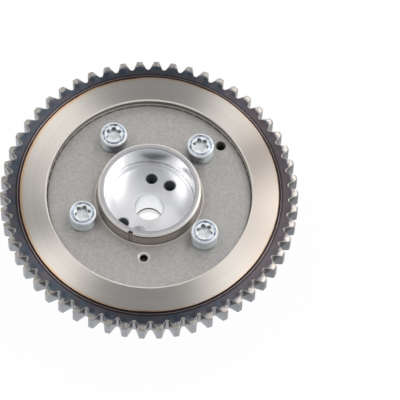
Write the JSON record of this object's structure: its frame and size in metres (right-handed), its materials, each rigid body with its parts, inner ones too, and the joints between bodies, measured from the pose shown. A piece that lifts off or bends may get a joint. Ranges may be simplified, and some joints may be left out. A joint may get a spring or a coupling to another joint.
{
  "type": "camshaft phaser sprocket",
  "caption": "Toothed timing sprocket around a hydraulic vane phaser, with a recessed cover plate, a proud steel collar and a through bolt hole.",
  "frame": {"origin": "On the rotor's axis at the underside of the front cover, which is the bottom centre of the box.", "axes": "+Z along the rotor's axis towards the camshaft side. +X and +Y lie in the plane of the sprocket; the gap between two cover screws that holds the lock pin's vent lies towards -Y."},
  "size_m": [0.1092, 0.1092, 0.0329],
  "materials": {
    "hardened_steel": "turned face with an induction-hardened blue-black rim",
    "blasted_steel": "bead-blasted sintered steel",
    "sintered_steel": "sintered, tumbled",
    "zinc_steel": "blue-passivated zinc plate",
    "turned_steel": "fine turned",
    "hard_steel": "hardened and ground",
    "spring_steel": "bright drawn",
    "aluminium": "bright turned",
    "seal_plastic": "moulded, filled plastic"
  },
  "bodies": {
    "housing": {"sprocket_housing": "hardened_steel", "cover_plate": "blasted_steel", "front_cover": "sintered_steel", "cover_screw_1": "zinc_steel", "cover_screw_2": "zinc_steel", "cover_screw_3": "zinc_steel", "cover_screw_4": "zinc_steel", "lock_bush": "hard_steel"},
    "rotor": {"vane_rotor": "aluminium", "hub_collar": "turned_steel", "vane_seal_1": "seal_plastic", "vane_seal_2": "seal_plastic", "vane_seal_3": "seal_plastic", "vane_seal_4": "seal_plastic", "seal_spring_1": "spring_steel", "seal_spring_2": "spring_steel", "seal_spring_3": "spring_steel", "seal_spring_4": "spring_steel", "lock_plug": "sintered_steel", "lock_spring": "spring_steel"},
    "lock_pin": {"lock_pin": "hard_steel"}
  },
  "joints": [
    {"name": "rotor_phasing", "type": "hinge", "parent": "housing", "child": "rotor", "pos_m": [0, 0, 0.0141], "axis": [0, 0, 1], "range_deg": [0, 25]},
    {"name": "lock_pin_slide", "type": "slide", "parent": "rotor", "child": "lock_pin", "axis": [0, 0, 1], "range_m": [-0.0012, 0], "stiffness_N_per_m": 400, "springref_m": 0.004, "deforming": ["lock_spring"]}
  ]
}
